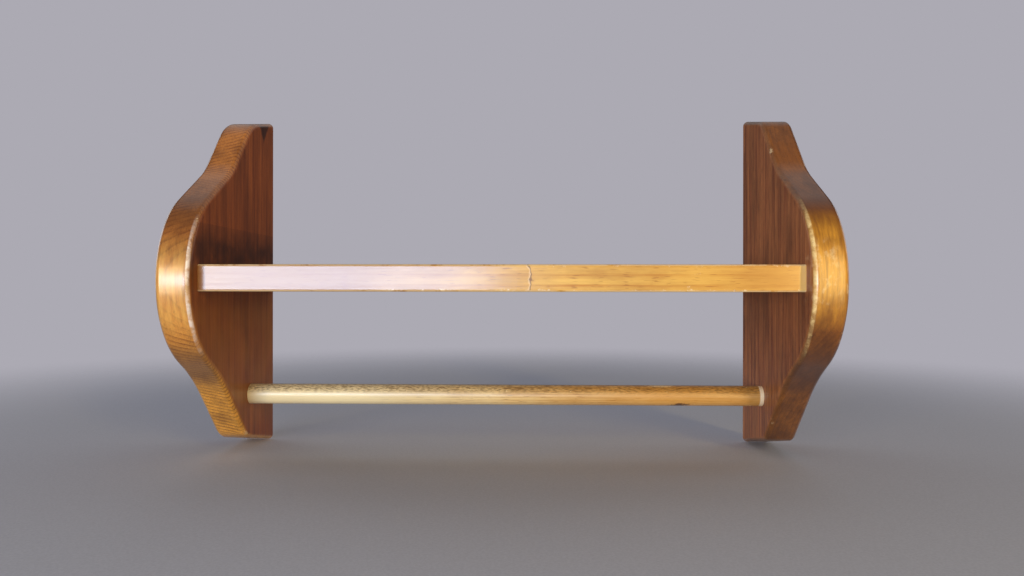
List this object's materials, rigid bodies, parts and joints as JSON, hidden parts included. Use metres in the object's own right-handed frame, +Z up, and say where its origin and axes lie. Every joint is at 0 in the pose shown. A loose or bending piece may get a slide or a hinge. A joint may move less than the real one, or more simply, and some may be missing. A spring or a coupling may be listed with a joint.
{
  "type": "wall shelf with towel bar",
  "caption": "Stained wooden wall shelf held between scalloped end panels, with a round towel bar below it that turns in blind sockets.",
  "frame": {"origin": "on the wall plane, midway between the centres of the keyhole entries in the back edges of the end panels", "axes": "+X along the towel bar to the right of a viewer who faces the wall, +Y into the wall, +Z up"},
  "size_m": [0.454, 0.1585, 0.274],
  "materials": {
    "stained_panel": "dark oak stain under gloss varnish",
    "stained_shelf": "golden stain under gloss varnish, worn at the arrises",
    "stained_bar": "golden stain under satin varnish",
    "screw_steel": "zinc plated",
    "stained_plug": "dark oak stain under gloss varnish"
  },
  "bodies": {
    "frame": {"left_end_panel": "stained_panel", "right_end_panel": "stained_panel", "shelf_board": "stained_shelf", "front_left_screw": "screw_steel", "rear_left_screw": "screw_steel", "front_right_screw": "screw_steel", "rear_right_screw": "screw_steel", "front_left_plug": "stained_plug", "rear_left_plug": "stained_plug", "front_right_plug": "stained_plug", "rear_right_plug": "stained_plug"},
    "bar": {"towel_bar": "stained_bar"}
  },
  "joints": [
    {"name": "bar_turn", "type": "hinge", "parent": "frame", "child": "bar", "pos_m": [0, -0.05, -0.1815], "axis": [1, 0, 0], "continuous": true}
  ]
}
